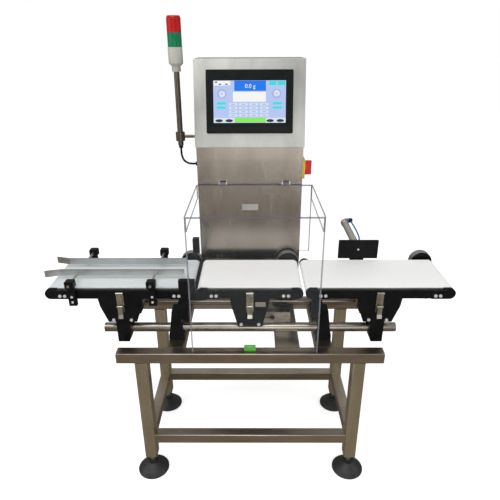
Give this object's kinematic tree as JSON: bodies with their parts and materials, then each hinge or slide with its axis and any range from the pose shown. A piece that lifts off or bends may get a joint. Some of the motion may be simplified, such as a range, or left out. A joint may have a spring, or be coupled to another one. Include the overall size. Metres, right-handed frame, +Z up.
{
  "type": "checkweigher",
  "caption": "In-line checkweigher on an open stand: belt conveyors in a row, one on a load cell, a terminal cabinet with a tower light, a clear hinged guard and an air pusher.",
  "frame": {"origin": "on the floor, under the middle of the whole machine's bounding box", "axes": "+X along the belts from infeed to outfeed, +Y from the operator's side to the cabinet, +Z up"},
  "size_m": [1.29, 0.589, 1.459],
  "materials": {
    "stainless_tube": "satin, brushed along the tube",
    "stainless_small": "plain",
    "foot": "matt black pad with a bright stem",
    "steel_shaft": "ground",
    "black_anodised": "black anodised, satin",
    "bed_sheet": "satin",
    "belt_white": "smooth, matt",
    "roller_steel": "turned",
    "motor_black": "satin black",
    "aluminium_plain": "plain",
    "black_plastic": "moulded",
    "guide_steel": "satin",
    "blue_hose": "smooth",
    "cabinet_sheet": "brushed",
    "screen_glass": "lit display behind glass",
    "switch_yellow": "smooth",
    "switch_red": "smooth",
    "lamp_pole_steel": "satin",
    "lamp_grey": "moulded",
    "lens_green": "ribbed lens",
    "lens_red": "ribbed lens",
    "clear_acrylic": "clear, polished edges",
    "level_green": "clear green vial"
  },
  "bodies": {
    "stand": {"top_rails": "stainless_tube", "legs": "stainless_tube", "lower_rails": "stainless_tube", "tube_plugs": "stainless_small", "foot_lock_nuts": "stainless_small", "plate_bolts": "stainless_small", "latch_bases": "stainless_small", "guard_hinges": "stainless_small", "support_shafts": "steel_shaft", "shaft_clamps": "black_anodised", "infeed_side_plates": "black_anodised", "weigh_side_plates": "black_anodised", "outfeed_side_plates": "black_anodised", "tension_blocks": "black_anodised", "reject_mount": "black_anodised", "slider_beds": "bed_sheet", "infeed_belt": "belt_white", "weigh_belt": "belt_white", "outfeed_belt": "belt_white", "drive_motors": "motor_black", "drive_housings": "motor_black", "load_cell": "aluminium_plain", "carrier_plates": "aluminium_plain", "reject_cylinder": "aluminium_plain", "guide_posts": "black_plastic", "photo_eye": "black_plastic", "photo_reflector": "black_plastic", "hmi_bezel": "black_plastic", "lamp_cable": "black_plastic", "air_hoses": "blue_hose", "column": "cabinet_sheet", "rear_cover": "cabinet_sheet", "head": "cabinet_sheet", "hmi_screen": "screen_glass", "switch_plate": "switch_yellow", "lamp_pole": "lamp_pole_steel", "lamp_base": "lamp_grey", "lamp_green": "lens_green", "lamp_red": "lens_red", "guard_panels": "clear_acrylic", "bubble_level": "level_green"},
    "foot_fl": {"foot_front_left": "foot"},
    "foot_fr": {"foot_front_right": "foot"},
    "foot_rl": {"foot_rear_left": "foot"},
    "foot_rr": {"foot_rear_right": "foot"},
    "infeed_drive": {"infeed_drive_roller": "roller_steel"},
    "weigh_drive": {"weigh_drive_roller": "roller_steel"},
    "outfeed_drive": {"outfeed_drive_roller": "roller_steel"},
    "infeed_tail": {"infeed_tail_roller": "roller_steel"},
    "weigh_tail": {"weigh_tail_roller": "roller_steel"},
    "outfeed_tail": {"outfeed_tail_roller": "roller_steel"},
    "infeed_latch": {"infeed_latch_lever": "stainless_small"},
    "weigh_latch": {"weigh_latch_lever": "stainless_small"},
    "outfeed_latch": {"outfeed_latch_lever": "stainless_small"},
    "front_guide": {"guide_rail_front": "guide_steel"},
    "rear_guide": {"guide_rail_rear": "guide_steel"},
    "pusher": {"reject_rod": "steel_shaft", "reject_plate": "black_anodised"},
    "main_switch": {"switch_handle": "switch_red"},
    "lid": {"guard_lid": "clear_acrylic"}
  },
  "joints": [
    {"name": "foot_fl_turn", "type": "hinge", "parent": "stand", "child": "foot_fl", "pos_m": [-0.337, -0.2415, 0.06], "axis": [0, 0, 1], "range_deg": [-180, 180]},
    {"name": "foot_fr_turn", "type": "hinge", "parent": "stand", "child": "foot_fr", "pos_m": [0.347, -0.2415, 0.06], "axis": [0, 0, 1], "range_deg": [-180, 180]},
    {"name": "foot_rl_turn", "type": "hinge", "parent": "stand", "child": "foot_rl", "pos_m": [-0.337, 0.0865, 0.06], "axis": [0, 0, 1], "range_deg": [-180, 180]},
    {"name": "foot_rr_turn", "type": "hinge", "parent": "stand", "child": "foot_rr", "pos_m": [0.347, 0.0865, 0.06], "axis": [0, 0, 1], "range_deg": [-180, 180]},
    {"name": "infeed_drive_turn", "type": "hinge", "parent": "stand", "child": "infeed_drive", "pos_m": [-0.185, -0.0775, 0.673], "axis": [0, 1, 0], "continuous": true},
    {"name": "weigh_drive_turn", "type": "hinge", "parent": "stand", "child": "weigh_drive", "pos_m": [0.153, -0.0775, 0.673], "axis": [0, 1, 0], "continuous": true},
    {"name": "outfeed_drive_turn", "type": "hinge", "parent": "stand", "child": "outfeed_drive", "pos_m": [0.621, -0.0775, 0.673], "axis": [0, 1, 0], "continuous": true},
    {"name": "infeed_tail_turn", "type": "hinge", "parent": "stand", "child": "infeed_tail", "pos_m": [-0.611, -0.0775, 0.673], "axis": [0, 1, 0], "continuous": true},
    {"name": "weigh_tail_turn", "type": "hinge", "parent": "stand", "child": "weigh_tail", "pos_m": [-0.143, -0.0775, 0.673], "axis": [0, 1, 0], "continuous": true},
    {"name": "outfeed_tail_turn", "type": "hinge", "parent": "stand", "child": "outfeed_tail", "pos_m": [0.195, -0.0775, 0.673], "axis": [0, 1, 0], "continuous": true},
    {"name": "infeed_latch_swing", "type": "hinge", "parent": "stand", "child": "infeed_latch", "pos_m": [-0.398, -0.1985, 0.632], "axis": [-1, 0, 0], "range_deg": [0, 110]},
    {"name": "weigh_latch_swing", "type": "hinge", "parent": "stand", "child": "weigh_latch", "pos_m": [0.005, -0.1985, 0.632], "axis": [-1, 0, 0], "range_deg": [0, 110]},
    {"name": "outfeed_latch_swing", "type": "hinge", "parent": "stand", "child": "outfeed_latch", "pos_m": [0.408, -0.1985, 0.632], "axis": [-1, 0, 0], "range_deg": [0, 110]},
    {"name": "front_guide_shift", "type": "slide", "parent": "stand", "child": "front_guide", "axis": [0, 1, 0], "range_m": [-0.05, 0.026]},
    {"name": "rear_guide_shift", "type": "slide", "parent": "stand", "child": "rear_guide", "axis": [0, 1, 0], "range_m": [-0.026, 0.05]},
    {"name": "pusher_stroke", "type": "slide", "parent": "stand", "child": "pusher", "axis": [0, -1, 0], "range_m": [0, 0.15]},
    {"name": "main_switch_turn", "type": "hinge", "parent": "stand", "child": "main_switch", "pos_m": [0.191, 0.1225, 0.992], "axis": [1, 0, 0], "range_deg": [0, 90]},
    {"name": "lid_open", "type": "hinge", "parent": "stand", "child": "lid", "pos_m": [0.02, 0.0645, 0.953], "axis": [-1, 0, 0], "range_deg": [0, 70]}
  ],
  "couplings": [
    {"joint": "infeed_tail_turn", "follows": "infeed_drive_turn", "ratio": 1},
    {"joint": "weigh_tail_turn", "follows": "weigh_drive_turn", "ratio": 1},
    {"joint": "outfeed_tail_turn", "follows": "outfeed_drive_turn", "ratio": 1}
  ]
}
